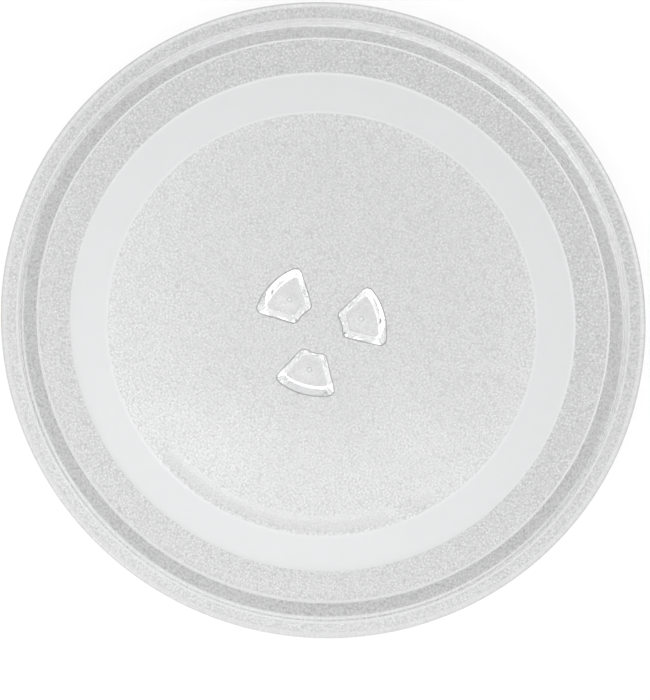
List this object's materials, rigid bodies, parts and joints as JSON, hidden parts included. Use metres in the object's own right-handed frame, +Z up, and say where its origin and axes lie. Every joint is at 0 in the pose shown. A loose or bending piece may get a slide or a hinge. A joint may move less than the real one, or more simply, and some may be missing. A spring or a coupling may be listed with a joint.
{
  "type": "microwave turntable plate",
  "caption": "Round clear-glass microwave turntable plate with a raised rim, stippled underside, smooth roller track and drive lugs for a coupler.",
  "frame": {"origin": "on the plate's axis, in the plane of the lug feet that it rests on", "axes": "+Z up along the axis, from the lug feet to the food side; -Y through the lug that the long smooth pad lies outside of"},
  "size_m": [0.245, 0.245, 0.0157],
  "materials": {
    "clear_glass": "clear pressed glass, polished on top, stippled below"
  },
  "bodies": {
    "root": {"turntable_plate": "clear_glass"}
  },
  "joints": []
}
